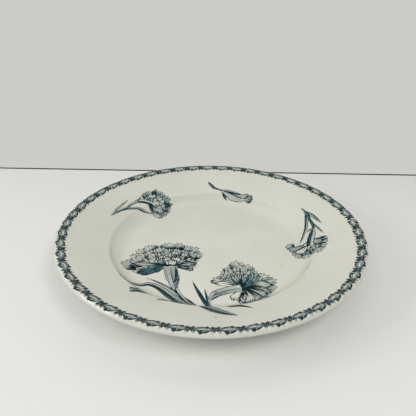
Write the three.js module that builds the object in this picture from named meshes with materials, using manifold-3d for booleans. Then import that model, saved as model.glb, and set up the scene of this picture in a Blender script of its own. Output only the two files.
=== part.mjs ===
// A transfer-printed earthenware dinner plate: the pressed and fired body, the glaze that covers all of it
// but the edge it stands on, and the printed ornament, one film for each piece of transfer tissue.
// Millimetres, +Z up. The origin is the centre of the foot ring on the table, and -Y is the diner's side.
import * as THREE from "three";
import { mergeVertices } from "three/addons/utils/BufferGeometryUtils.js";
import Module from "manifold-3d";

const wasm = await Module();
wasm.setup();

// Driving dimensions of the glazed plate.
const PLATE_DIAMETER = 240;
const RIM_WIDTH = 38.5; // from the lip in to the edge of the well, in plan
const RIM_SLOPE = 20.5; // degrees above level
const RIM_THICKNESS = 4.6;
const WELL_DROP = 7; // from the edge of the well down to its floor
const WALL_SLOPE = 50; // degrees above level
const WALL_THICKNESS = 4.2;
const FLOOR_THICKNESS = 3.8;
const COVE_RADIUS = 15; // where the wall runs into the floor
const SHOULDER_RADIUS = 4; // where the wall turns out into the rim
const FOOT_HEIGHT = 2.1;
const FOOT_WIDTH = 3.2; // of the edge that the plate stands on
const FOOT_INSET = 2.8; // from the foot of the wall in to the foot ring
const FOOT_DRAFT = 0.7; // how much wider the foot ring's root is than its edge, on each side
const FOOT_ROUNDING = 0.5;
const UNDERSIDE_FILLET = 1;

// Coats, from the clay outwards.
const COAT_GAP = 0.02; // keeps the coats separate solids
const GLAZE_THICKNESS = 0.25;
const PRINT_THICKNESS = 0.06;
const BARE_FOOT_HEIGHT = 0.8; // the glaze stops this far above the table

// The border: two strips of tissue that meet at two joins.
const BORDER_INSET = 2.7; // from the lip in to the border's outer edge, in plan
const BORDER_WIDTH = 8;
const BORDER_JOINS = [6, 140]; // degrees anticlockwise from +X
const JOIN_GAP = 0.8; // left between the strips' ends

// The sprays and sprigs, engraved to suit a plate of one size and larger or smaller in step with it.
const ENGRAVED_FOR = 240;
const TIP_WIDTH = 0.5; // a drawn line's narrowest

const CUTTER_HEIGHT = 80; // taller than the plate
const SEGMENTS = 48; // round the plate
const ARC_STEP = 30; // degrees, the longest step along a rounded corner
const MOST_ROUNDED = 0.96; // of a straight between two rounded corners

const radians = THREE.MathUtils.degToRad;
const point = (x, y) => new THREE.Vector2(x, y);
const polar = (centre, radius, angle) =>
  point(centre.x + radius * Math.cos(angle), centre.y + radius * Math.sin(angle));

// ---- Profiles: x is the distance from the axis, y the height. Each runs with the open air on its left. ----

/** The angle that a path turns through at a corner. */
const turnAt = (before, corner, after) => Math.abs(corner.clone().sub(before).angleTo(after.clone().sub(corner)));

/** The arc that rounds off a corner, from "reach" before it to "reach" after it. */
function roundedCorner(before, corner, after, reach) {
  const towards = (end) => end.clone().sub(corner).normalize();
  const halfTurn = turnAt(before, corner, after) / 2;
  const radius = reach / Math.tan(halfTurn);
  const inward = towards(before).add(towards(after)).normalize();
  const centre = corner.clone().addScaledVector(inward, radius / Math.cos(halfTurn));
  const start = corner.clone().addScaledVector(towards(before), reach).sub(centre);
  const clockwise = towards(before).cross(towards(after)) > 0;
  const steps = Math.ceil((2 * halfTurn) / radians(ARC_STEP));
  const step = ((clockwise ? -2 : 2) * halfTurn) / steps;
  return Array.from({ length: steps + 1 }, (_, i) => polar(centre, radius, start.angle() + i * step));
}

/** A profile from its corners, each { at, radius }, rounded off as far as the straights between them allow. */
function profile(corners) {
  const at = corners.map((corner) => corner.at);
  const reaches = corners.map(({ radius }, i) =>
    radius ? radius * Math.tan(turnAt(at[i - 1], at[i], at[i + 1]) / 2) : 0,
  );
  const room = (i, j) => (MOST_ROUNDED * at[i].distanceTo(at[j])) / (reaches[i] + reaches[j]);
  return corners.flatMap((corner, i) => {
    if (!corner.radius) return [corner.at];
    const reach = reaches[i] * Math.min(1, room(i - 1, i), room(i, i + 1));
    return roundedCorner(at[i - 1], at[i], at[i + 1], reach);
  });
}

/** A profile moved out to its left by a distance, with mitred corners. */
function movedOut(points, distance) {
  const normals = points.slice(1).map((p, i) => {
    const along = p.clone().sub(points[i]).normalize();
    return point(-along.y, along.x);
  });
  return points.map((p, i) => {
    const before = normals[Math.max(i - 1, 0)];
    const after = normals[Math.min(i, normals.length - 1)];
    const mitre = before.clone().add(after).normalize();
    return p.clone().addScaledVector(mitre, distance / mitre.dot(before));
  });
}

/** The section between a profile moved out by two distances, from the axis round to the axis again. */
function coatSection(points, inner, outer) {
  const sides = [movedOut(points, outer), movedOut(points, inner).reverse()];
  return points[0].x === 0 ? sides.flat() : sides.reverse().flat();
}

// ---- The clay body, which is the glazed plate less its coat. ----

const coat = COAT_GAP + GLAZE_THICKNESS;
const lipRadius = RIM_THICKNESS / 2 - coat;
const rimAngle = radians(RIM_SLOPE);
const wallAngle = radians(WALL_SLOPE);

const floorTop = FOOT_HEIGHT + FLOOR_THICKNESS - coat;
const recessTop = FOOT_HEIGHT + coat;
const wellEdge = point(PLATE_DIAMETER / 2 - RIM_WIDTH, floorTop + WELL_DROP);
const floorCorner = point(wellEdge.x - WELL_DROP / Math.tan(wallAngle), floorTop);

const lipCentre = point(PLATE_DIAMETER / 2 - RIM_THICKNESS / 2, 0);
lipCentre.y = wellEdge.y + (lipCentre.x - wellEdge.x) * Math.tan(rimAngle) - lipRadius / Math.cos(rimAngle);
const lipSteps = Math.ceil(180 / ARC_STEP);
const lipTurn = Array.from({ length: lipSteps + 1 }, (_, i) =>
  polar(lipCentre, lipRadius, Math.PI / 2 + rimAngle - (Math.PI * i) / lipSteps),
);
const lipUnder = lipTurn[lipTurn.length - 1];

// The underside's corners: where the backs of the rim and of the wall meet, and where the wall's back ends.
const wallBackStart = wellEdge
  .clone()
  .add(point(Math.sin(wallAngle), -Math.cos(wallAngle)).multiplyScalar(WALL_THICKNESS - 2 * coat));
const shoulderBackX =
  (wallBackStart.y - lipUnder.y + lipUnder.x * Math.tan(rimAngle) - wallBackStart.x * Math.tan(wallAngle)) /
  (Math.tan(rimAngle) - Math.tan(wallAngle));
const shoulderBack = point(shoulderBackX, lipUnder.y - (lipUnder.x - shoulderBackX) * Math.tan(rimAngle));
const wallFoot = point(shoulderBack.x - (shoulderBack.y - recessTop) / Math.tan(wallAngle), recessTop);

const footRoot = point(wallFoot.x - FOOT_INSET, recessTop);
const footOuter = point(footRoot.x - FOOT_DRAFT, 0);
const footInner = point(footOuter.x - FOOT_WIDTH, 0);
const recessCorner = point(footInner.x - FOOT_DRAFT, recessTop);
const onFootWall = (edge, root) => edge.clone().lerp(root, BARE_FOOT_HEIGHT / recessTop);

const face = profile([
  { at: point(0, floorTop) },
  { at: floorCorner, radius: COVE_RADIUS },
  { at: wellEdge, radius: SHOULDER_RADIUS },
  { at: lipTurn[0] },
]);
const back = profile([
  { at: lipUnder },
  { at: shoulderBack, radius: SHOULDER_RADIUS + WALL_THICKNESS },
  { at: wallFoot, radius: UNDERSIDE_FILLET },
  { at: footRoot, radius: UNDERSIDE_FILLET },
  { at: onFootWall(footOuter, footRoot) },
]);
const footEdge = profile([
  { at: onFootWall(footOuter, footRoot) },
  { at: footOuter, radius: FOOT_ROUNDING },
  { at: footInner, radius: FOOT_ROUNDING },
  { at: onFootWall(footInner, recessCorner) },
]);
const recess = profile([
  { at: onFootWall(footInner, recessCorner) },
  { at: recessCorner, radius: UNDERSIDE_FILLET },
  { at: point(0, recessTop) },
]);
const upToLip = [...face, ...lipTurn.slice(1)];

// ---- Solids. ----

/** A solid turned from a section, in the plate's own frame. */
const turned = (section) => new THREE.LatheGeometry(section.slice().reverse(), SEGMENTS).rotateX(Math.PI / 2);

/** A closed geometry as a solid that can be cut and joined. */
function solidOf(geometry) {
  const bare = geometry.clone();
  bare.deleteAttribute("normal");
  bare.deleteAttribute("uv");
  const merged = mergeVertices(bare, 1e-4);
  return new wasm.Manifold(
    new wasm.Mesh({
      numProp: 3,
      vertProperties: merged.attributes.position.array,
      triVerts: new Uint32Array(merged.index.array),
    }),
  );
}

/** A cut solid as a geometry again. */
function geometryOf(solid) {
  const { vertProperties, triVerts } = solid.getMesh();
  const geometry = new THREE.BufferGeometry();
  geometry.setAttribute("position", new THREE.BufferAttribute(vertProperties, 3));
  geometry.setIndex(new THREE.BufferAttribute(triVerts, 1));
  geometry.computeVertexNormals();
  return geometry;
}

// The film that every transfer is cut from: one even layer over the glaze, from the axis out to the lip.
const filmBottom = coat + COAT_GAP;
const filmSolid = solidOf(turned(coatSection(face, filmBottom, filmBottom + PRINT_THICKNESS)));

/** An upright cutter with the outline of a shape in plan. */
const upright = (shape) => solidOf(new THREE.ExtrudeGeometry(shape, { depth: CUTTER_HEIGHT, bevelEnabled: false }));

/** One transfer: the film inside the joined outlines of its shapes. */
const transfer = (shapes) =>
  geometryOf(
    shapes
      .map(upright)
      .reduce((joined, next) => joined.add(next))
      .intersect(filmSolid),
  );

// ---- Outlines of the ornament, in plan. ----

const engraved = (x, y) => point(x, y).multiplyScalar(PLATE_DIAMETER / ENGRAVED_FOR);
const resized = (length) => (length * PLATE_DIAMETER) / ENGRAVED_FOR;

/** A leaf, stem or bud along a curve, as wide as width(t), t running from 0 at its start to 1 at its end. */
function blade(spine, width, steps = 9) {
  const curve = new THREE.SplineCurve(spine.map(([x, y]) => engraved(x, y)));
  const sides = [1, -1].map((side) =>
    Array.from({ length: steps + 1 }, (_, i) => {
      const along = curve.getTangent(i / steps);
      const normal = point(-along.y, along.x);
      return curve.getPoint(i / steps).addScaledVector(normal, (side * resized(width(i / steps))) / 2);
    }),
  );
  return new THREE.Shape([...sides[0], ...sides[1].reverse()]);
}
const leafWidth = (most) => (t) => TIP_WIDTH + (most - TIP_WIDTH) * Math.sin(Math.PI * t);
const taperWidth = (start, end) => (t) => start + (end - start) * t;

/** A carnation head seen from the side: an oval with a toothed edge. */
function bloom({ centre, halfWidth, halfHeight, tilt, teeth, depth }) {
  const turn = radians(tilt);
  const outline = Array.from({ length: teeth * 2 }, (_, i) => {
    const angle = (Math.PI * i) / teeth;
    const reach = i % 2 ? 1 - depth : 1;
    const offset = engraved(halfWidth * reach * Math.cos(angle), halfHeight * reach * Math.sin(angle));
    return offset.rotateAround(point(0, 0), turn).add(engraved(...centre));
  });
  return new THREE.Shape(outline);
}

/** A strip of the border between two directions, with a gap left at each end. */
function borderStrip(from, to) {
  const outer = PLATE_DIAMETER / 2 - BORDER_INSET;
  const inner = outer - BORDER_WIDTH;
  const endGap = JOIN_GAP / outer / 2;
  const [start, end] = [radians(from) + endGap, radians(to) - endGap];
  const steps = Math.ceil(((end - start) / (2 * Math.PI)) * SEGMENTS);
  const arc = (radius) =>
    Array.from({ length: steps + 1 }, (_, i) => polar(point(0, 0), radius, start + ((end - start) * i) / steps));
  return new THREE.Shape([...arc(outer), ...arc(inner).reverse()]);
}

const centreSpray = [
  bloom({ centre: [-38, -19], halfWidth: 31, halfHeight: 18, tilt: 9, teeth: 15, depth: 0.12 }),
  bloom({ centre: [28, -49], halfWidth: 28, halfHeight: 20, tilt: -55, teeth: 14, depth: 0.12 }),
  blade([[-31, -28], [-29, -42], [-25, -56]], taperWidth(10, 3)),
  blade([[-25, -54], [-20, -63], [-10, -77], [1, -87]], taperWidth(2.5, 4)),
  blade([[-65, -49], [-57, -53], [-46, -50.5], [-34, -57], [-24, -67], [-9, -80]], leafWidth(5.5)),
  blade([[-47, -44], [-36, -49], [-23, -60]], leafWidth(1.8)),
  blade([[-56, -68], [-47, -68], [-34, -72], [-22, -74], [-8, -81]], taperWidth(4, 2)),
  blade([[-35, -77], [-24, -76], [-6, -82]], leafWidth(1.6)),
  blade([[-13, -47], [-7, -63], [-1, -82]], leafWidth(2.6)),
  blade([[-4, -56], [-2, -67], [0, -82]], leafWidth(1.8)),
  blade([[0, -84], [-1, -68], [8, -59], [22, -54]], taperWidth(2, 8)),
  blade([[-1, -83], [10, -80.5], [18, -81], [27, -86]], leafWidth(2.6)),
  blade([[-11, -77], [0, -86], [8, -92], [16, -95.5]], leafWidth(6)),
];
const leftSprig = [
  bloom({ centre: [-49, 61], halfWidth: 16.5, halfHeight: 11.5, tilt: 112, teeth: 11, depth: 0.14 }),
  blade([[-87, 29], [-83, 36], [-76, 46], [-69, 56], [-52, 59]], taperWidth(1, 5)),
  blade([[-86, 32], [-83, 42], [-77, 56]], leafWidth(2)),
  blade([[-84, 35], [-77, 43], [-66, 48.3], [-53, 50]], leafWidth(2.4)),
];
const rightSprig = [
  bloom({ centre: [77, -9.5], halfWidth: 16, halfHeight: 9.5, tilt: 0, teeth: 11, depth: 0.14 }),
  blade([[80.5, 45.5], [83.5, 37], [85.5, 25], [85.5, 12], [80, -4]], taperWidth(1, 6)),
  blade([[82.5, 41], [88, 32], [93, 19]], leafWidth(1.8)),
  blade([[83, 40], [82.5, 28], [79, 14], [73, 3.5]], leafWidth(2.6)),
  blade([[85.5, 28], [88.5, 15], [91.5, 5]], leafWidth(1.8)),
];
const singleBud = [
  blade([[-4, 95], [-1, 91], [1, 87]], leafWidth(3)),
  blade([[-2, 91], [4, 87.7], [12, 84]], taperWidth(1.5, 2)),
  blade([[9, 85], [13, 80], [16, 75]], leafWidth(2.2)),
  blade([[9, 86], [16, 81], [27, 76], [39, 69]], leafWidth(8)),
];

// ---- Materials and the plate. ----

const biscuit = new THREE.MeshStandardMaterial({ color: 0xd9cdb4, roughness: 0.85, metalness: 0 });
const glaze = new THREE.MeshStandardMaterial({ color: 0xdcdacb, roughness: 0.12, metalness: 0 });
const ink = new THREE.MeshStandardMaterial({ color: 0x2c5560, roughness: 0.14, metalness: 0 });

const piece = (name, geometry, material) => {
  const mesh = new THREE.Mesh(geometry, material);
  mesh.name = name;
  return mesh;
};

const plate = new THREE.Group();
const [firstJoin, secondJoin] = BORDER_JOINS;
plate.add(
  piece("fired_body", turned([...upToLip, ...back.slice(1), ...footEdge.slice(1), ...recess.slice(1)]), biscuit),
  piece("glaze_coat", turned(coatSection([...upToLip, ...back.slice(1)], COAT_GAP, coat)), glaze),
  piece("foot_recess_glaze", turned(coatSection(recess, COAT_GAP, coat)), glaze),
  piece("border_strip_back", transfer([borderStrip(firstJoin, secondJoin)]), ink),
  piece("border_strip_front", transfer([borderStrip(secondJoin, firstJoin + 360)]), ink),
  piece("centre_spray_print", transfer(centreSpray), ink),
  piece("left_sprig_print", transfer(leftSprig), ink),
  piece("right_sprig_print", transfer(rightSprig), ink),
  piece("single_bud_print", transfer(singleBud), ink),
);

export default plate;
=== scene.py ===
"""A transfer-printed earthenware dinner plate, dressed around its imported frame.

The classes hold their sizes in millimetres and the meshes are made in metres. Every round
surface shares one section, PlateShape, and every printed line is a thin closed ribbon that
lies on it. A drawing is set out in plan: +X to the diner's right, +Y away from the diner.
"""

import logging
import math
from dataclasses import dataclass, field
from enum import Enum
from typing import Sequence

import bpy
import numpy as np
from mathutils import Matrix, Vector


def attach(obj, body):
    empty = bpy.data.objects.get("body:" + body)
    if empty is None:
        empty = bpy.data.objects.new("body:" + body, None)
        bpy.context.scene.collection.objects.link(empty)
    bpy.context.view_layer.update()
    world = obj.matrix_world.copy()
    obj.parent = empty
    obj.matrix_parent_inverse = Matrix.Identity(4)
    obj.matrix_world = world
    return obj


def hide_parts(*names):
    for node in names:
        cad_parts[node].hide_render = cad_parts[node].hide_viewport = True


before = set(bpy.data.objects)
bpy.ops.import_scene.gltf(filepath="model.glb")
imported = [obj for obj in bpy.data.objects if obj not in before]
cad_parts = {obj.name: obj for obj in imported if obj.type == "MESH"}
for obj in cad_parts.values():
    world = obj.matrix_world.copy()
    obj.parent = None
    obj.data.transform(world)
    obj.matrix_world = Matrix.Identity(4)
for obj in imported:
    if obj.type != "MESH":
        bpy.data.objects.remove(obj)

MM = 0.001
Point = tuple[float, float]
Path = np.ndarray
log = logging.getLogger("plate")


# ---- Node maths. ----


class Wire:
    """A node's output, with the arithmetic operators adding Math nodes."""

    def __init__(self, sheet: "Sheet", socket: bpy.types.NodeSocket) -> None:
        """Wraps one output socket of a sheet."""
        self.sheet = sheet
        self.socket = socket

    def _maths(self, operation: str, first: "Wire | float", second: "Wire | float") -> "Wire":
        """Adds one Math node.

        Args:
            operation: the Math node's operation.
            first: its first value.
            second: its second value.

        Returns:
            The node's output.
        """
        return self.sheet.node("ShaderNodeMath", {"operation": operation}, {0: first, 1: second})

    def __add__(self, other: "Wire | float") -> "Wire":
        """self + other."""
        return self._maths("ADD", self, other)

    __radd__ = __add__

    def __sub__(self, other: "Wire | float") -> "Wire":
        """self - other."""
        return self._maths("SUBTRACT", self, other)

    def __rsub__(self, other: float) -> "Wire":
        """other - self."""
        return self._maths("SUBTRACT", other, self)

    def __mul__(self, other: "Wire | float") -> "Wire":
        """self * other."""
        return self._maths("MULTIPLY", self, other)

    __rmul__ = __mul__

    def __truediv__(self, other: "Wire | float") -> "Wire":
        """self / other."""
        return self._maths("DIVIDE", self, other)

    def __rtruediv__(self, other: float) -> "Wire":
        """other / self."""
        return self._maths("DIVIDE", other, self)

    def step(self, low: float, high: float) -> "Wire":
        """A smooth step from 0 up to 1, level outside its two ends.

        Args:
            low: the value where it is 0.
            high: the value where it is 1.

        Returns:
            The step.
        """
        settings = {"interpolation_type": "SMOOTHSTEP", "clamp": True}
        return self.sheet.node(
            "ShaderNodeMapRange", settings, {"Value": self, "From Min": low, "From Max": high}
        )


class Sheet:
    """A node tree that is written from Python."""

    def __init__(self, tree: bpy.types.NodeTree) -> None:
        """Starts on a tree, emptied."""
        self.tree = tree
        self.tree.nodes.clear()

    def node(
        self,
        kind: str,
        settings: dict[str, object] | None = None,
        inputs: dict[str | int, object] | None = None,
        output: str | int = 0,
    ) -> Wire:
        """Adds a node.

        Args:
            kind: the node's type.
            settings: its own properties, set first.
            inputs: values or wires for its sockets, by name or by number.
            output: the output that is handed back, by name or by number.

        Returns:
            That output.
        """
        node = self.tree.nodes.new(kind)
        for name, value in (settings or {}).items():
            setattr(node, name, value)
        for name, value in (inputs or {}).items():
            socket = self._socket(node.inputs, name)
            if isinstance(value, Wire):
                self.tree.links.new(value.socket, socket)
            else:
                socket.default_value = value
        return Wire(self, self._socket(node.outputs, output))

    @staticmethod
    def _socket(sockets: bpy.types.NodeInputs, name: str | int) -> bpy.types.NodeSocket:
        """Finds a socket.

        Args:
            sockets: a node's inputs or outputs.
            name: its number, or its name.

        Returns:
            The socket with that number, or the first one in use with that name.
        """
        if isinstance(name, int):
            return sockets[name]
        return next(socket for socket in sockets if socket.name == name and socket.enabled)


class ShaderSheet(Sheet):
    """One material's node tree."""

    def __init__(self, name: str) -> None:
        """Starts an empty material.

        Args:
            name: its name.
        """
        self.material = bpy.data.materials.new(name)
        self.material.use_nodes = True
        super().__init__(self.material.node_tree)

    def place(self) -> Wire:
        """Object coordinates."""
        return self.node("ShaderNodeTexCoord", output="Object")

    def noise(self, spot: Wire, scale: float, detail: float = 3, roughness: float = 0.5) -> Wire:
        """Noise from 0 to 1 at that many features a metre."""
        sizes = {"Vector": spot, "Scale": scale, "Detail": detail, "Roughness": roughness}
        return self.node("ShaderNodeTexNoise", inputs=sizes, output="Fac")

    def blend(self, share: Wire | float, low: tuple | Wire, high: tuple | Wire) -> Wire:
        """Mixes two colours.

        Args:
            share: 0 for the first colour, 1 for the second.
            low: the first colour.
            high: the second colour.

        Returns:
            The mixed colour.
        """
        ends = {
            name: (*colour, 1) if isinstance(colour, tuple) else colour
            for name, colour in (("A", low), ("B", high))
        }
        return self.node(
            "ShaderNodeMix", {"data_type": "RGBA"}, {"Factor": share, **ends}, output="Result"
        )

    def relief(self, height: Wire, distance: float) -> Wire:
        """A normal from a height; where it is 1 the surface stands that many metres proud."""
        return self.node("ShaderNodeBump", inputs={"Height": height, "Distance": distance})

    def finish(self, **sockets: object) -> bpy.types.Material:
        """Ends the sheet in one Principled shader.

        Args:
            **sockets: the shader's values or wires, with _ for a space.

        Returns:
            The material.
        """
        values = {name.replace("_", " "): value for name, value in sockets.items()}
        shader = self.node("ShaderNodeBsdfPrincipled", inputs=values)
        output = self.tree.nodes.new("ShaderNodeOutputMaterial")
        self.tree.links.new(shader.socket, output.inputs["Surface"])
        return self.material


class GeometrySheet(Sheet):
    """A Geometry Nodes tree with named inputs."""

    def __init__(self, name: str) -> None:
        """Starts a tree with a geometry input and a geometry output.

        Args:
            name: its name.
        """
        super().__init__(bpy.data.node_groups.new(name, "GeometryNodeTree"))
        kind = "NodeSocketGeometry"
        for side in ("INPUT", "OUTPUT"):
            self.tree.interface.new_socket("Geometry", in_out=side, socket_type=kind)
        self.entry = self.tree.nodes.new("NodeGroupInput")
        self.values: dict[str, object] = {}

    def given(self, name: str, value: object, kind: str = "NodeSocketFloat") -> Wire:
        """Adds a named input.

        Args:
            name: its name.
            value: the value that the modifier will set it to.
            kind: its socket's type.

        Returns:
            The input's value inside the tree.
        """
        socket = self.tree.interface.new_socket(name, in_out="INPUT", socket_type=kind)
        self.values[socket.identifier] = value
        return Wire(self, self.entry.outputs[name])

    def baked(self, piece: bpy.types.Object, result: Wire) -> bpy.types.Object:
        """Runs the tree on an object.

        Args:
            piece: the object whose mesh goes in; it is removed.
            result: the geometry to hand out.

        Returns:
            A plain mesh object of the same name.
        """
        output = self.tree.nodes.new("NodeGroupOutput")
        self.tree.links.new(result.socket, output.inputs["Geometry"])
        modifier = piece.modifiers.new("made", "NODES")
        modifier.node_group = self.tree
        for identifier, value in self.values.items():
            modifier[identifier] = value
        name = piece.name
        graph = bpy.context.evaluated_depsgraph_get()
        mesh = bpy.data.meshes.new_from_object(piece.evaluated_get(graph))
        piece.modifiers.remove(modifier)
        bpy.data.objects.remove(piece)
        mesh.name = name
        made = bpy.data.objects.new(name, mesh)
        bpy.context.collection.objects.link(made)
        return made


# ---- Finishes. ----


@dataclass(frozen=True)
class CreamGlaze:
    """Clear glaze over a cream body: glossy, a little uneven, crazed and here and there stained."""

    slot: str = "cream_glaze"
    name: str = "lead_glaze_over_cream"
    pale: tuple = (0.675, 0.682, 0.598)
    deep: tuple = (0.642, 0.652, 0.562)
    stain: tuple = (0.52, 0.47, 0.34)
    craze: tuple = (0.50, 0.48, 0.38)
    crazing: float = 0.16
    staining: float = 0.22
    flecking: float = 0.55
    gloss_roughness: float = 0.13
    ripple_height: float = 0.00022

    def material(self) -> bpy.types.Material:
        """Makes the material."""
        sheet = ShaderSheet(self.name)
        spot = sheet.place()
        cloud = sheet.noise(spot, 22, 4).step(0.35, 0.7)
        colour = sheet.blend(cloud, self.pale, self.deep)
        cells = {"Vector": spot, "Scale": 210.0}
        cracks = sheet.node(
            "ShaderNodeTexVoronoi", {"feature": "DISTANCE_TO_EDGE"}, cells, output="Distance"
        )
        crazed = (1 - cracks.step(0.004, 0.02)) * sheet.noise(spot, 31, 2).step(0.5, 0.66)
        colour = sheet.blend(crazed * self.crazing, colour, self.craze)
        blotch = sheet.noise(spot, 46, 5, 0.62).step(0.69, 0.80)
        colour = sheet.blend(blotch * self.staining, colour, self.stain)
        flecks = sheet.node(
            "ShaderNodeTexVoronoi", inputs={"Vector": spot, "Scale": 95.0}, output="Distance"
        )
        fleck = (1 - flecks.step(0.035, 0.06)) * sheet.noise(spot, 57, 1).step(0.56, 0.6)
        colour = sheet.blend(fleck * self.flecking, colour, self.stain)
        ripple = sheet.noise(spot, 42, 2) * 0.85 + sheet.noise(spot, 900, 2) * 0.012
        return sheet.finish(
            Base_Color=colour,
            Roughness=sheet.noise(spot, 160, 3) * 0.07 + (self.gloss_roughness - 0.035),
            Specular_IOR_Level=0.5,
            Coat_Weight=0.3,
            Coat_Roughness=0.05,
            Normal=sheet.relief(ripple, self.ripple_height),
        )


@dataclass(frozen=True)
class BiscuitClay:
    """The bare fired clay of the foot edge: matt, grainy, rubbed grey where it stands."""

    slot: str = "biscuit_clay"
    name: str = "bare_fired_clay"
    fresh: tuple = (0.62, 0.52, 0.38)
    rubbed: tuple = (0.34, 0.30, 0.25)
    grain_height: float = 0.00012

    def material(self) -> bpy.types.Material:
        """Makes the material."""
        sheet = ShaderSheet(self.name)
        spot = sheet.place()
        grain = sheet.noise(spot, 1500, 4, 0.65)
        worn = sheet.noise(spot, 120, 4).step(0.42, 0.62)
        colour = sheet.blend(worn * 0.75, self.fresh, self.rubbed)
        colour = sheet.blend(grain.step(0.5, 0.75) * 0.3, colour, self.rubbed)
        return sheet.finish(
            Base_Color=colour,
            Roughness=0.72 + grain * 0.2,
            Normal=sheet.relief(grain, self.grain_height),
        )


@dataclass(frozen=True)
class TealInk:
    """Teal ink under the glaze: deep in the heavy cuts, paler in the fine ones, uneven in both."""

    name: str
    deep: tuple
    thin: tuple
    slot: str = "teal_print"
    gloss_roughness: float = 0.13

    def material(self) -> bpy.types.Material:
        """Makes the material."""
        sheet = ShaderSheet(self.name)
        spot = sheet.place()
        pooled = sheet.noise(spot, 230, 4, 0.6).step(0.36, 0.68)
        return sheet.finish(
            Base_Color=sheet.blend(pooled, self.deep, self.thin),
            Roughness=sheet.noise(spot, 160, 3) * 0.07 + self.gloss_roughness,
            Specular_IOR_Level=0.12,
        )


@dataclass(frozen=True)
class PaleBoard:
    """A painted board of the surroundings: the table, the dark strip of painted shadow behind it,
    or the reflector.
    """

    name: str
    colour: tuple
    shade: tuple
    roughness: float
    grain_height: float = 0.00004

    def material(self) -> bpy.types.Material:
        """Makes the material."""
        sheet = ShaderSheet(self.name)
        spot = sheet.place()
        cloud = sheet.noise(spot, 5, 3)
        return sheet.finish(
            Base_Color=sheet.blend(cloud, self.colour, self.shade),
            Roughness=self.roughness,
            Normal=sheet.relief(sheet.noise(spot, 700, 3), self.grain_height),
        )


class Finish(Enum):
    """The finishes of the plate; each one knows its slot in the frame."""

    GLAZE = CreamGlaze()
    CLAY = BiscuitClay()
    FINE_INK = TealInk("teal_ink_in_fine_cuts", (0.018, 0.092, 0.112), (0.048, 0.158, 0.180))
    HEAVY_INK = TealInk("teal_ink_in_heavy_cuts", (0.0045, 0.027, 0.034), (0.013, 0.052, 0.063))

    def material(self) -> bpy.types.Material:
        """The finish's material, made the first time that it is asked for."""
        return bpy.data.materials.get(self.value.name) or self.value.material()

    def on(self, piece: bpy.types.Object, *nodes: str) -> bpy.types.Object:
        """Dresses a piece and puts it in the frame.

        Args:
            piece: the finished object.
            *nodes: the frame's nodes that it stands for.

        Returns:
            The same object.
        """
        piece.data.materials.clear()
        piece.data.materials.append(self.material())
        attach(piece, "root")
        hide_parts(*nodes)
        log.info("%s: %d faces, for %s", piece.name, len(piece.data.polygons), ", ".join(nodes))
        return piece


# ---- The section that every round surface is turned from. ----


def unit(vector: np.ndarray) -> np.ndarray:
    """A vector's direction."""
    return vector / np.linalg.norm(vector)


@dataclass(frozen=True)
class Corner:
    """A corner of a section, at a distance from the axis and a height, and its rounding."""

    at: Point
    radius: float = 0.0


def rounded_path(corners: Sequence[Corner], step: float = 3.0) -> Path:
    """Rounds off a path's corners.

    Args:
        corners: the corners in order.
        step: the longest step along a rounding, in degrees.

    Returns:
        The points of the rounded path.
    """
    at = [np.array(corner.at, float) for corner in corners]

    def half_turn(i: int) -> float:
        """Half of the angle that the path turns through at a corner."""
        inward, outward = unit(at[i] - at[i - 1]), unit(at[i + 1] - at[i])
        return math.acos(max(-1.0, min(1.0, float(inward @ outward)))) / 2

    reach = [
        corner.radius * math.tan(half_turn(i)) if corner.radius else 0.0
        for i, corner in enumerate(corners)
    ]

    def room(i: int, j: int) -> float:
        """How much of two neighbouring reaches fits on the straight between them."""
        return 0.96 * float(np.linalg.norm(at[i] - at[j])) / max(reach[i] + reach[j], 1e-9)

    points: list[np.ndarray] = []
    for i, corner in enumerate(corners):
        if not corner.radius:
            points.append(at[i])
            continue
        fitted = reach[i] * min(1.0, room(i - 1, i), room(i, i + 1))
        half = half_turn(i)
        radius = fitted / math.tan(half)
        before, after = unit(at[i - 1] - at[i]), unit(at[i + 1] - at[i])
        centre = at[i] + unit(before + after) * radius / math.cos(half)
        start = at[i] + before * fitted - centre
        turn = -2 * half if before[0] * after[1] - before[1] * after[0] > 0 else 2 * half
        count = max(2, math.ceil(math.degrees(2 * half) / step))
        first = math.atan2(start[1], start[0])
        for k in range(count + 1):
            angle = first + turn * k / count
            points.append(centre + radius * np.array([math.cos(angle), math.sin(angle)]))
    return np.array(points)


def moved_out(path: Path, distance: float) -> Path:
    """Moves a path out to its left, with mitred corners.

    Args:
        path: the path.
        distance: how far.

    Returns:
        The moved path, with as many points.
    """
    along = np.diff(path, axis=0)
    along /= np.linalg.norm(along, axis=1)[:, None]
    normals = np.column_stack([-along[:, 1], along[:, 0]])
    before = normals[np.maximum(np.arange(len(path)) - 1, 0)]
    after = normals[np.minimum(np.arange(len(path)), len(normals) - 1)]
    mitre = before + after
    mitre /= np.linalg.norm(mitre, axis=1)[:, None]
    return path + mitre * (distance / np.sum(mitre * before, axis=1))[:, None]


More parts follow.
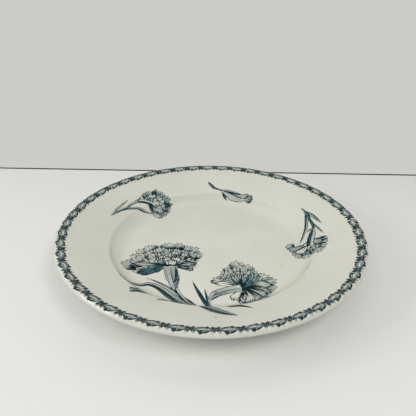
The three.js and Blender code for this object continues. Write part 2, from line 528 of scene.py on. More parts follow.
@dataclass(frozen=True)
class PlateShape:
    """The plate's section. Its paths run with the open air on their left.

    Millimetres and degrees. The last three fields are how finely its roundings are drawn.
    """

    diameter: float = 240.0
    rim_width: float = 38.5
    rim_slope: float = 20.5
    rim_thickness: float = 4.6
    well_drop: float = 7.0
    wall_slope: float = 50.0
    wall_thickness: float = 4.2
    floor_thickness: float = 3.8
    cove_radius: float = 15.0
    shoulder_radius: float = 4.0
    foot_height: float = 2.1
    foot_width: float = 3.2
    foot_inset: float = 2.8
    foot_draft: float = 0.7
    foot_rounding: float = 0.5
    underside_fillet: float = 1.0
    gap: float = 0.02
    glaze: float = 0.25
    bare_foot: float = 0.8
    lip_step: float = 5.0
    back_step: float = 6.0
    foot_step: float = 10.0

    @property
    def coat(self) -> float:
        """From the clay to the glaze's outer surface."""
        return self.gap + self.glaze

    @property
    def slope(self) -> float:
        """The rim's slope in radians."""
        return math.radians(self.rim_slope)

    @property
    def well_edge(self) -> np.ndarray:
        """The clay's corner between the wall of the well and the rim."""
        top = self.foot_height + self.floor_thickness - self.coat + self.well_drop
        return np.array([self.diameter / 2 - self.rim_width, top])

    @property
    def lip_radius(self) -> float:
        """The clay lip's rounding."""
        return self.rim_thickness / 2 - self.coat

    @property
    def lip_centre(self) -> np.ndarray:
        """The centre of the lip's rounding."""
        x = self.diameter / 2 - self.rim_thickness / 2
        rise = (x - self.well_edge[0]) * math.tan(self.slope)
        return np.array([x, self.well_edge[1] + rise - self.lip_radius / math.cos(self.slope)])

    def lip(self) -> Path:
        """The clay lip's half round, from the face over to the back."""
        count = round(180 / self.lip_step) + 1
        angles = math.pi / 2 + self.slope - np.linspace(0, math.pi, count)
        turn = np.column_stack([np.cos(angles), np.sin(angles)])
        return self.lip_centre + self.lip_radius * turn

    def face(self) -> Path:
        """The clay's face, from the axis out to the lip."""
        floor = self.well_edge[1] - self.well_drop
        run = self.well_drop / math.tan(math.radians(self.wall_slope))
        return rounded_path(
            [
                Corner((0.0, floor)),
                Corner((self.well_edge[0] - run, floor), self.cove_radius),
                Corner(tuple(self.well_edge), self.shoulder_radius),
                Corner(tuple(self.lip()[0])),
            ]
        )

    def _underside(self) -> dict[str, Point]:
        """The named corners of the back of the plate."""
        wall = math.radians(self.wall_slope)
        under = self.lip()[-1]
        recess = self.foot_height + self.coat
        inset = self.wall_thickness - 2 * self.coat
        start = self.well_edge + inset * np.array([math.sin(wall), -math.cos(wall)])
        rise = start[1] - under[1] + under[0] * math.tan(self.slope) - start[0] * math.tan(wall)
        x = rise / (math.tan(self.slope) - math.tan(wall))
        y = under[1] - (under[0] - x) * math.tan(self.slope)
        foot = x - (y - recess) / math.tan(wall)
        root = foot - self.foot_inset
        outer = root - self.foot_draft
        inner = outer - self.foot_width
        return {
            "under": tuple(under),
            "shoulder": (x, y),
            "wall_foot": (foot, recess),
            "root": (root, recess),
            "outer": (outer, 0.0),
            "inner": (inner, 0.0),
            "recess": (inner - self.foot_draft, recess),
        }

    def _bare(self, edge: Point, root: Point) -> Point:
        """Where the glaze stops on a wall of the foot ring."""
        share = self.bare_foot / (self.foot_height + self.coat)
        return tuple(np.array(edge) + (np.array(root) - np.array(edge)) * share)

    def back(self) -> Path:
        """The clay's back, from the lip in and down to where the glaze stops."""
        at = self._underside()
        return rounded_path(
            [
                Corner(at["under"]),
                Corner(at["shoulder"], self.shoulder_radius + self.wall_thickness),
                Corner(at["wall_foot"], self.underside_fillet),
                Corner(at["root"], self.underside_fillet),
                Corner(self._bare(at["outer"], at["root"])),
            ],
            self.back_step,
        )

    def foot(self) -> Path:
        """The bare edge that the plate stands on."""
        at = self._underside()
        return rounded_path(
            [
                Corner(self._bare(at["outer"], at["root"])),
                Corner(at["outer"], self.foot_rounding),
                Corner(at["inner"], self.foot_rounding),
                Corner(self._bare(at["inner"], at["recess"])),
            ],
            self.foot_step,
        )

    def recess(self) -> Path:
        """The clay inside the foot ring, in to the axis."""
        at = self._underside()
        return rounded_path(
            [
                Corner(self._bare(at["inner"], at["recess"])),
                Corner(at["recess"], self.underside_fillet),
                Corner((0.0, self.foot_height + self.coat)),
            ],
            self.back_step,
        )

    def upper(self) -> Path:
        """The clay's face and lip in one path."""
        return np.vstack([self.face(), self.lip()[1:]])

    def height(self, distance: np.ndarray) -> np.ndarray:
        """Finds how high the glazed face lies.

        Args:
            distance: distances from the axis.

        Returns:
            The face's height at each of them.
        """
        glazed = moved_out(self.upper(), self.coat)
        upto = int(np.argmax(glazed[:, 1])) + 1
        return np.interp(distance, glazed[:upto, 0], glazed[:upto, 1])


class Turned:
    """A solid of revolution from a closed section."""

    SEGMENTS = 240
    AXIS = 1e-7
    SHARP = 35

    def __init__(self, name: str, section: Path) -> None:
        """Takes a section that runs with the open air on its left."""
        self.name = name
        self.section = section

    def build(self) -> bpy.types.Object:
        """Makes the solid.

        Returns:
            The object, closed at the axis, smooth but for the edges sharper than SHARP degrees.
        """
        turn = np.linspace(0, 2 * math.pi, self.SEGMENTS, endpoint=False)
        vertices: list[tuple[float, float, float]] = []
        rings: list[list[int]] = []
        for x, z in self.section * MM:
            start = len(vertices)
            if x < self.AXIS:
                vertices.append((0.0, 0.0, float(z)))
                rings.append([start] * self.SEGMENTS)
                continue
            vertices += [(float(x * math.cos(a)), float(x * math.sin(a)), float(z)) for a in turn]
            rings.append(list(range(start, start + self.SEGMENTS)))
        faces = []
        last = len(rings) if rings[0][0] != rings[0][1] else len(rings) - 1
        for k in range(last):
            low, high = rings[k], rings[(k + 1) % len(rings)]
            for i in range(self.SEGMENTS):
                j = (i + 1) % self.SEGMENTS
                face = list(dict.fromkeys([low[i], low[j], high[j], high[i]]))
                if len(face) > 2:
                    faces.append(face)
        mesh = bpy.data.meshes.new(self.name)
        mesh.from_pydata(vertices, [], faces)
        mesh.shade_smooth()
        mesh.set_sharp_from_angle(angle=math.radians(self.SHARP))
        piece = bpy.data.objects.new(self.name, mesh)
        bpy.context.collection.objects.link(piece)
        return piece


@dataclass(frozen=True)
class Pottery:
    """The pressed body and the coats of glaze on it."""

    shape: PlateShape = field(default_factory=PlateShape)

    def coat_section(self, path: Path) -> Path:
        """Finds the section of the glaze over a part of the clay.

        Args:
            path: the clay's path, which either starts at the axis or ends at it or misses it.

        Returns:
            The closed section.
        """
        outer = moved_out(path, self.shape.coat)
        inner = moved_out(path, self.shape.gap)[::-1]
        sides = (outer, inner) if path[0, 0] < Turned.AXIS else (inner, outer)
        return np.vstack(sides)

    def body(self) -> bpy.types.Object:
        """The fired clay."""
        shape = self.shape
        parts = [shape.upper(), shape.back()[1:], shape.foot()[1:], shape.recess()[1:]]
        piece = Turned("fired_clay_body", np.vstack(parts)).build()
        return Finish.CLAY.on(piece, "fired_body")

    def coat(self) -> bpy.types.Object:
        """The glaze over the face, the lip and the back."""
        path = np.vstack([self.shape.upper(), self.shape.back()[1:]])
        piece = Turned("glaze_over_face_and_back", self.coat_section(path)).build()
        return Finish.GLAZE.on(piece, "glaze_coat")

    def recess(self) -> bpy.types.Object:
        """The glaze inside the foot ring."""
        piece = Turned("glaze_in_the_foot_ring", self.coat_section(self.shape.recess())).build()
        return Finish.GLAZE.on(piece, "foot_recess_glaze")


# ---- The engraved drawings. ----

# The steps that a curve is followed in between two of its points.
SPLINE_STEPS = 12
# Hatching that would cover more than this share of the surface is cut deep and runs together.
HEAVY_TONE = 0.62


def spline(points: Sequence[Point] | Path, count: int) -> Path:
    """A smooth curve through points.

    Args:
        points: the points that the curve passes through.
        count: how many points to return.

    Returns:
        The curve, evenly spaced along its length.
    """
    at = np.asarray(points, float)
    if len(at) < 3:
        return at[0] + (at[-1] - at[0]) * np.linspace(0, 1, count)[:, None]
    padded = np.vstack([2 * at[0] - at[1], at, 2 * at[-1] - at[-2]])
    t = np.linspace(0, 1, SPLINE_STEPS + 1)[:-1, None]
    runs = []
    for a, b, c, d in zip(padded, padded[1:], padded[2:], padded[3:]):
        square, cube = 2 * a - 5 * b + 4 * c - d, 3 * b - a - 3 * c + d
        runs.append(0.5 * (2 * b + (c - a) * t + square * t**2 + cube * t**3))
    fine = np.vstack([*runs, at[-1:]])
    along = np.concatenate([[0], np.cumsum(np.linalg.norm(np.diff(fine, axis=0), axis=1))])
    even = np.linspace(0, along[-1], count)
    return np.column_stack([np.interp(even, along, fine[:, 0]), np.interp(even, along, fine[:, 1])])


def evenly(values: Sequence[float], count: int) -> np.ndarray:
    """Values at even steps along a path, taken at count points that are spread along it too."""
    return np.interp(np.linspace(0, 1, count), np.linspace(0, 1, len(values)), values)


def normals_of(path: Path) -> Path:
    """Finds the unit normals of a path, to its left.

    Args:
        path: the path.

    Returns:
        A normal for each of its points.
    """
    along = np.gradient(path, axis=0)
    along /= np.maximum(np.linalg.norm(along, axis=1), 1e-9)[:, None]
    return np.column_stack([-along[:, 1], along[:, 0]])


def inside(points: Path, outline: Path) -> np.ndarray:
    """Tells which points lie inside an outline.

    Args:
        points: the points.
        outline: the corners of the closed outline.

    Returns:
        True for each point that lies inside.
    """
    x, y = points[:, 0, None], points[:, 1, None]
    ax, ay = outline[:, 0], outline[:, 1]
    bx, by = np.roll(ax, -1), np.roll(ay, -1)
    rise = np.where(by == ay, 1e-12, by - ay)
    crossed = ((ay > y) != (by > y)) & (x < (bx - ax) * (y - ay) / rise + ax)
    return crossed.sum(axis=1) % 2 == 1


@dataclass
class Line:
    """One engraved line: where it runs, how wide it is there, and which cut it belongs to."""

    path: Path
    widths: np.ndarray
    cut: int
    order: int


class Engraving:
    """Lines, and the shapes that hide the lines drawn before them."""

    STEP = 0.4
    SHORTEST = 0.5
    NARROWEST = 0.05

    def __init__(self, seed: int) -> None:
        """Starts an empty plate of copper.

        Args:
            seed: the seed of everything random on it.
        """
        self.random = np.random.default_rng(seed)
        self.lines: list[Line] = []
        self.covers: list[tuple[int, Path]] = []

    def cover(self, outline: Path) -> None:
        """Hides what lies inside a closed outline so far."""
        self.covers.append((len(self.lines), np.asarray(outline, float)))

    def line(
        self, points: Path | Sequence[Point], widths: float | Sequence[float], cut: int = 0
    ) -> None:
        """Draws a line.

        Args:
            points: the points that it passes through.
            widths: its width, or its widths at even steps along it.
            cut: 0 for hatching, up to 3 for the heaviest outline; a later cut lies a little higher.
        """
        at = np.asarray(points, float)
        length = float(np.linalg.norm(np.diff(at, axis=0), axis=1).sum())
        if length < self.SHORTEST:
            return
        path = spline(at, max(3, math.ceil(length / self.STEP) + 1))
        wide = evenly(np.atleast_1d(np.asarray(widths, float)), len(path))
        self.lines.append(Line(path, np.maximum(wide, self.NARROWEST), cut, len(self.lines)))

    def visible(self) -> list[Line]:
        """Breaks the lines where a later shape hides them.

        Returns:
            The stretches that stay.
        """
        boxes = [(order, outline, outline.min(0), outline.max(0)) for order, outline in self.covers]
        shown: list[Line] = []
        for line in self.lines:
            low, high = line.path.min(0), line.path.max(0)
            hidden = np.zeros(len(line.path), bool)
            for order, outline, under, over in boxes:
                if order > line.order and not (np.any(high < under) or np.any(low > over)):
                    hidden |= inside(line.path, outline)
                    if hidden.all():
                        break
            edges = np.flatnonzero(np.diff(np.concatenate([[1], hidden, [1]])))
            for start, stop in zip(edges[::2], edges[1::2]):
                if stop - start > 1:
                    path, widths = line.path[start:stop], line.widths[start:stop]
                    shown.append(Line(path, widths, line.cut, line.order))
        return shown


class Film:
    """The printed lines as thin closed ribbons draped over the glaze.

    A ribbon lies LIFT over the glaze and is THICKNESS thick; each heavier cut lies CUT_STEP higher.
    A point is left out where the ribbon stays within BEND of its shape, for LONGEST points at most.
    """

    LIFT = 0.026
    THICKNESS = 0.022
    CUT_STEP = 0.0035
    BEND = 0.012
    LONGEST = 14

    def __init__(self, shape: "PlateShape | FlatBed") -> None:
        """Starts without a line.

        Args:
            shape: what the ribbons lie on.
        """
        self.shape = shape
        self.vertices: list[Path] = []
        self.faces: list[np.ndarray] = []
        self.caps: list[tuple[int, int, int]] = []
        self.count = 0

    def _thinned(self, points: Path, widths: np.ndarray) -> np.ndarray:
        """Picks the points that a ribbon needs.

        Args:
            points: its points, with heights.
            widths: its width at each.

        Returns:
            The numbers of the points to keep.
        """
        keep = [0]
        data = np.column_stack([points, widths[:, None] * 0.5])
        i = 0
        while i < len(points) - 1:
            j = min(i + 2, len(points) - 1)
            while j < len(points) - 1 and j - i < self.LONGEST:
                share = ((np.arange(i, j + 2) - i) / (j + 1 - i))[:, None]
                chord = data[i] + (data[j + 1] - data[i]) * share
                if np.abs(chord - data[i : j + 2]).max() > self.BEND:
                    break
                j += 1
            keep.append(j)
            i = j
        return np.array(keep)

    def ribbon(self, line: Line) -> None:
        """Lays one line down.

        Args:
            line: the line.
        """
        plan, widths = line.path, line.widths
        heights = self.shape.height(np.linalg.norm(plan, axis=1))
        keep = self._thinned(np.column_stack([plan, heights * 1.5]), widths)
        side = normals_of(plan)[keep] * (widths[keep] / 2)[:, None]
        plan = plan[keep]
        top = self.LIFT + self.THICKNESS + self.CUT_STEP * line.cut
        rows = []
        for edge, lift in ((plan + side, top), (plan - side, top), (plan, self.LIFT)):
            height = self.shape.height(np.linalg.norm(edge, axis=1))
            rows.append(np.column_stack([edge, height + lift]))
        count = len(plan)
        self.vertices.append(np.stack(rows, axis=1).reshape(-1, 3) * MM)
        start = self.count + 3 * np.arange(count - 1)[:, None]
        bands = [(1, 4, 3, 0), (0, 3, 5, 2), (2, 5, 4, 1)]
        faces = np.vstack([np.hstack([start + k for k in band]) for band in bands])
        self.faces.append(faces)
        last = self.count + 3 * (count - 1)
        self.caps.append((self.count, self.count + 2, self.count + 1))
        self.caps.append((last, last + 1, last + 2))
        self.count += 3 * count

    @staticmethod
    def flat_map(mesh: bpy.types.Mesh) -> None:
        """Maps a mesh in plan, so that lines side by side stay side by side when it is baked.

        Args:
            mesh: the mesh, which gets the map.
        """
        spots = np.empty(len(mesh.vertices) * 3, np.float32)
        mesh.vertices.foreach_get("co", spots)
        spots = spots.reshape(-1, 3)[:, :2]
        loops = np.empty(len(mesh.loops), np.int32)
        mesh.loops.foreach_get("vertex_index", loops)
        low, high = spots.min(0), spots.max(0)
        flat = (spots[loops] - low) / float((high - low).max())
        layer = mesh.uv_layers.get("OFBake") or mesh.uv_layers.new(name="OFBake")
        layer.data.foreach_set("uv", flat.astype(np.float32).ravel())

    def build(self, name: str, lines: Sequence[Line]) -> bpy.types.Object:
        """Makes one piece of some lines.

        Args:
            name: the piece's name.
            lines: its lines.

        Returns:
            The object, with a flat map in plan.
        """
        self.vertices, self.faces, self.caps, self.count = [], [], [], 0
        for line in lines:
            self.ribbon(line)
        mesh = bpy.data.meshes.new(name)
        faces = np.vstack(self.faces).tolist() + list(self.caps)
        mesh.from_pydata(np.vstack(self.vertices).tolist(), [], faces)
        mesh.shade_flat()
        self.flat_map(mesh)
        piece = bpy.data.objects.new(name, mesh)
        bpy.context.collection.objects.link(piece)
        return piece


class FlatBed:
    """A level surface to draw a repeat on before it is bent round the rim."""

    def height(self, distance: np.ndarray) -> np.ndarray:
        """Zero at every distance."""
        return np.zeros_like(distance)


@dataclass(frozen=True)
class Leaf:
    """A leaf, stem, sepal or bract: a middle line with widths, edges, and hatching along it.

    left and right are the tones of its two sides along it, as the share that ink covers.
    """

    MARGIN = 0.08
    FAINTEST = 0.07

    spine: tuple[Point, ...]
    widths: tuple[float, ...]
    left: tuple[float, ...] = (0.5,)
    right: tuple[float, ...] = (0.5,)
    edge: float = 0.42
    rib: float = 0.3
    pitch: float = 0.55

    def _hatch(self, pen: Engraving, path: Path, wide: np.ndarray) -> None:
        """Draws one line of the hatching, or one deep cut where the tone is heavy.

        Args:
            pen: the engraving.
            path: where the line runs.
            wide: how wide it is.
        """
        if wide.max() <= self.FAINTEST:
            return
        if wide.mean() > HEAVY_TONE * self.pitch:
            pen.line(path, np.full(len(wide), self.pitch * 1.04), 1)
            return
        fade = np.interp(np.linspace(0, 1, len(wide)), [0, 0.12, 0.88, 1], [0.4, 1, 1, 0.4])
        pen.line(path, np.maximum(wide * fade, 0.06), 0)

    def draw(self, pen: Engraving) -> None:
        """Draws it over what is there.

        Args:
            pen: the engraving.
        """
        length = float(np.linalg.norm(np.diff(np.array(self.spine), axis=0), axis=1).sum())
        spine = spline(self.spine, max(8, round(length / 0.8)))
        half = evenly(self.widths, len(spine)) / 2
        side = normals_of(spine)
        left, right = spine + side * half[:, None], spine - side * half[:, None]
        pen.cover(np.vstack([left, right[::-1]]))
        for sign, tones in ((1, self.left), (-1, self.right)):
            tone = evenly(tones, len(spine))
            for offset in np.arange(self.pitch / 2, half.max(), self.pitch):
                within = half > offset + self.MARGIN
                edges = np.flatnonzero(np.diff(np.concatenate([[0], within, [0]])))
                for start, stop in zip(edges[::2], edges[1::2]):
                    if stop - start < 3:
                        continue
                    jitter = pen.random.normal(0, 0.04)
                    path = (spine + side * sign * (offset + jitter))[start:stop]
                    self._hatch(pen, path, (tone * self.pitch)[start:stop])
        if self.rib:
            pen.line(spine, (0.15, self.rib, self.rib, 0.15), 1)
        for edge in (left, right):
            pen.line(edge, (0.2, self.edge, self.edge, self.edge, 0.2), 2)


@dataclass(frozen=True)
class Petal:
    """One petal with a toothed edge, from its root to the middle of its edge.

    Shares run from 0 at the root to 1 at the edge. A nearer petal hides it up to covered. Its
    tone is even hatching, its streaks are heavy strokes, its fringe is a row of short ones that
    rise from under the nearer petals, and its shade darkens one side, the other if negative.
    """

    HATCH_PITCH = 0.6
    FRINGE_PITCH = 1.1
    SHADE_STROKES = 5

    root: Point
    tip: Point
    width: float
    bow: float = 0.0
    teeth: int = 5
    depth: float = 1.6
    crown: float = 0.16
    narrow: float = 0.22
    covered: float = 0.1
    tone: float = 0.0
    streaks: int = 4
    weight: float = 0.9
    edge: float = 0.6
    shade: float = 0.0
    fringe: float = 0.0

    def _spread(self, along: np.ndarray) -> np.ndarray:
        """The petal's width at shares along it, as a share of its greatest width."""
        rise = self.narrow + (1 - self.narrow) * np.clip(along / 0.8, 0, 1) ** 0.85
        return rise * np.interp(along, [0, 0.82, 1.0], [1, 1, 0.88])

    def _at(self, along: np.ndarray, across: np.ndarray) -> Path:
        """Finds points of the petal.

        Args:
            along: their shares along it.
            across: their places across it, from -1 to 1.

        Returns:
            The points.
        """
        root, tip = np.array(self.root), np.array(self.tip)
        reach = tip - root
        normal = np.array([-reach[1], reach[0]]) / max(float(np.linalg.norm(reach)), 1e-9)
        bow = self.bow * 4 * along * (1 - along)
        middle = root + reach * along[:, None] + normal * bow[:, None]
        return middle + normal * (across * self._spread(along) * self.width / 2)[:, None]

    def _hatching(self, pen: Engraving, length: float) -> None:
        """Draws even lines along the petal that make its tone.

        Args:
            pen: the engraving.
            length: the petal's length.
        """
        count = max(3, round(self.width / self.HATCH_PITCH))
        for across in np.linspace(-0.9, 0.9, count):
            stop = 1 - self.crown * across**2 - 0.6 * self.depth / length
            stop -= pen.random.uniform(0, 0.04)
            run = np.linspace(max(self.covered - 0.1, 0.02), max(stop, self.covered + 0.02), 7)
            gap = self._spread(run) * self.width * 0.9 / (count - 1)
            pen.line(self._at(run, np.full(7, across)), self.tone * gap, 0)

    def _shadows(self, pen: Engraving) -> None:
        """Draws dark strokes that rise from under the nearer petals and narrow to a point.

        Args:
            pen: the engraving.
        """
        low = max(self.covered - 0.12, 0.02)
        if self.fringe:
            count = max(3, round(self.width / self.FRINGE_PITCH))
            taper = np.array([1.1, 1.1, 0.95, 0.6, 0.12])
            for across in np.linspace(-0.88, 0.88, count):
                top = self.covered
                top += (1 - self.covered) * self.fringe * pen.random.uniform(0.35, 1.5)
                run = np.linspace(low, min(top, 0.92), len(taper))
                wide = self._spread(run) * self.width * taper / count
                pen.line(self._at(run, np.full(len(taper), across)), wide, 1)
        for across in np.sort(pen.random.uniform(-0.85, 0.85, self.streaks)):
            stop = self.covered + (0.94 - self.covered) * pen.random.uniform(0.3, 1.0)
            run = np.linspace(low, stop, 6)
            drift = across + np.linspace(0, pen.random.uniform(-0.12, 0.12), 6)
            heavy = self.weight * pen.random.uniform(0.8, 1.6)
            pen.line(self._at(run, drift), (heavy, heavy, heavy * 0.75, 0.15), 1)
        if self.shade:
            side = math.copysign(1, self.shade)
            for k in range(self.SHADE_STROKES):
                across = side * (0.92 - 0.17 * k)
                top = self.covered + (0.95 - self.covered) * (1.0 - 0.15 * k) * abs(self.shade)
                run = np.linspace(low, top, 6)
                wide = 0.21 * self.width / 2 * self._spread(run) * np.linspace(1.05, 0.4, 6)
                cut = 1 if k < self.SHADE_STROKES - 1 else 0
                pen.line(self._at(run, np.full(6, across)), wide, cut)

    def _toothed(self, pen: Engraving, length: float) -> tuple[np.ndarray, np.ndarray]:
        """Chooses the petal's teeth.

        Args:
            pen: the engraving.
            length: the petal's length.

        Returns:
            The corners of its edge, as places across it and as shares along it.
        """
        marks = np.linspace(-1, 1, 2 * self.teeth + 1)
        jitter = pen.random.uniform(-0.5, 0.5, len(marks)) / self.teeth
        marks = marks + np.where(np.abs(marks) < 0.99, jitter * 0.6, 0)
        deep = pen.random.uniform(0.6, 1.5, len(marks))
        dip = np.where(np.arange(len(marks)) % 2 == 0, deep, -0.25 * deep)
        ends = 1 - self.crown * marks**2 - dip * self.depth / length
        ends[[0, -1]] = np.minimum(ends[[0, -1]], 0.86)
        return marks, ends

    def draw(self, pen: Engraving) -> None:
        """Draws it over what is there.

        Args:
            pen: the engraving.
        """
        length = max(float(np.hypot(self.tip[0] - self.root[0], self.tip[1] - self.root[1])), 1)
        rise = np.linspace(0.0, 0.84, 12)
        left, right = self._at(rise, -np.ones(12)), self._at(rise, np.ones(12))
        marks, ends = self._toothed(pen, length)
        top = self._at(ends, marks)
        pen.cover(np.vstack([left, top, right[::-1]]))
        if self.tone:
            self._hatching(pen, length)
        self._shadows(pen)
        for i in range(1, len(marks) - 1):
            tooth = i % 2 == 1
            deep = pen.random.uniform(0.8, 2.0) if tooth else pen.random.uniform(1.4, 3.8)
            run = np.linspace(float(ends[i]), float(ends[i]) - deep / length, 4)
            heavy = self.edge * pen.random.uniform(0.9, 2.2 if tooth else 1.5)
            wide = (self.edge, heavy, 0.1) if tooth else (heavy, heavy * 0.7, 0.1)
            if not tooth or pen.random.random() < 0.6:
                pen.line(self._at(run, np.full(4, marks[i])), wide, 2)
        start = int(np.clip(self.covered * 12 - 1, 0, 8))
        for edge in (left, right):
            pen.line(edge[start:], (self.edge * 1.1, self.edge * 0.8, self.edge * 0.5), 2)
        wide = (self.edge * 0.8, self.edge * 1.2, self.edge * 0.8)
        for a, b in zip(top, top[1:]):
            pen.line(np.array([a, (a + b) / 2, b]), wide, 3)


@dataclass(frozen=True)
class Speck:
    """A spatter of ink or a pit in the glaze."""

    at: Point
    size: float = 0.7

    def draw(self, pen: Engraving) -> None:
        """Draws it as one short blunt line.

        Args:
            pen: the engraving.
        """
        turn = pen.random.uniform(0, math.pi)
        reach = np.array([math.cos(turn), math.sin(turn)]) * self.size / 2
        at = np.array(self.at)
        wide = (self.size * 0.5, self.size, self.size * 0.4)
        pen.line(np.array([at - reach, at, at + reach]), wide, 1)


@dataclass(frozen=True)
class PetalRow:
    """A row of petals of a bloom, as a share of its reach, from start to stop of its fan."""

    reach: float
    covered: float
    count: int
    teeth: int = 4
    tone: float = 0.0
    streaks: int = 4
    weight: float = 0.9
    shade: float = 0.8
    start: float = 0.0
    stop: float = 1.0
    fringe: float = 0.3


@dataclass(frozen=True)
class Bloom:
    """A carnation's head: rows of petals that fan out from its base, and petals of their own.

    reach lists directions in degrees, each with the head's reach in that direction.
    """

    SCATTER = 0.10
    NARROWEST = 4.5
    OVERLAP = 1.45

    base: Point
    reach: tuple[tuple[float, float], ...]
    rows: tuple[PetalRow, ...]
    behind: tuple[Petal, ...] = ()
    front: tuple[Petal, ...] = ()
    depth: float = 2.4
    edge: float = 0.44

    def draw(self, pen: Engraving) -> None:
        """Draws it, the farthest petals first.

        Args:
            pen: the engraving.
        """
        for petal in self.behind:
            petal.draw(pen)
        turns, lengths = np.array(self.reach).T
        for row in self.rows:
            low = turns[0] + (turns[-1] - turns[0]) * row.start
            high = turns[0] + (turns[-1] - turns[0]) * row.stop
            step = (high - low) / row.count
            directions = low + step * (np.arange(row.count) + 0.5)
            middle = (low + high) / 2
            for turn in sorted(directions, key=lambda angle: -abs(angle - middle)):
                turn = float(turn + pen.random.normal(0, step * self.SCATTER))
                reach = float(np.interp(turn, turns, lengths)) * row.reach
                reach *= pen.random.uniform(0.90, 1.05)
                angle = math.radians(turn)
                tip = (
                    self.base[0] + reach * math.cos(angle),
                    self.base[1] + reach * math.sin(angle),
                )
                Petal(
                    self.base,
                    tip,
                    max(self.NARROWEST, reach * math.radians(step) * self.OVERLAP),
                    bow=pen.random.uniform(-0.05, 0.05) * reach,
                    teeth=row.teeth,
                    depth=self.depth,
                    covered=row.covered,
                    tone=row.tone * pen.random.uniform(0.5, 1.4),
                    streaks=row.streaks,
                    weight=row.weight,
                    edge=self.edge,
                    shade=row.shade * pen.random.choice((-1, 1)) * pen.random.uniform(0.5, 1.1),
                    fringe=row.fringe,
                ).draw(pen)
        for petal in self.front:
            petal.draw(pen)


def by_ink(lines: Sequence[Line]) -> list[tuple[str, Finish, list[Line]]]:
    """Sorts lines by the ink that they print in.

    Args:
        lines: the lines of a drawing.

    Returns:
        For each ink, what its piece is called, the finish, and its lines.
    """
    fine = [line for line in lines if line.cut == 0]
    heavy = [line for line in lines if line.cut > 0]
    return [("fine_cuts", Finish.FINE_INK, fine), ("heavy_cuts", Finish.HEAVY_INK, heavy)]


@dataclass(frozen=True)
class Spray:
    """One transfer: leaves behind, blooms, and leaves and calyxes in front."""

    name: str
    node: str
    seed: int
    shapes: tuple["Leaf | Petal | Bloom | Speck", ...]

    def build(self, film: Film) -> None:
        """Draws it and lays it on the plate, one piece for each ink.

        Args:
            film: what lays lines on the plate.
        """
        pen = Engraving(self.seed)
        for shape in self.shapes:
            shape.draw(pen)
        for part, finish, lines in by_ink(pen.visible()):
            finish.on(film.build(f"{self.name}_{part}", lines), self.node)


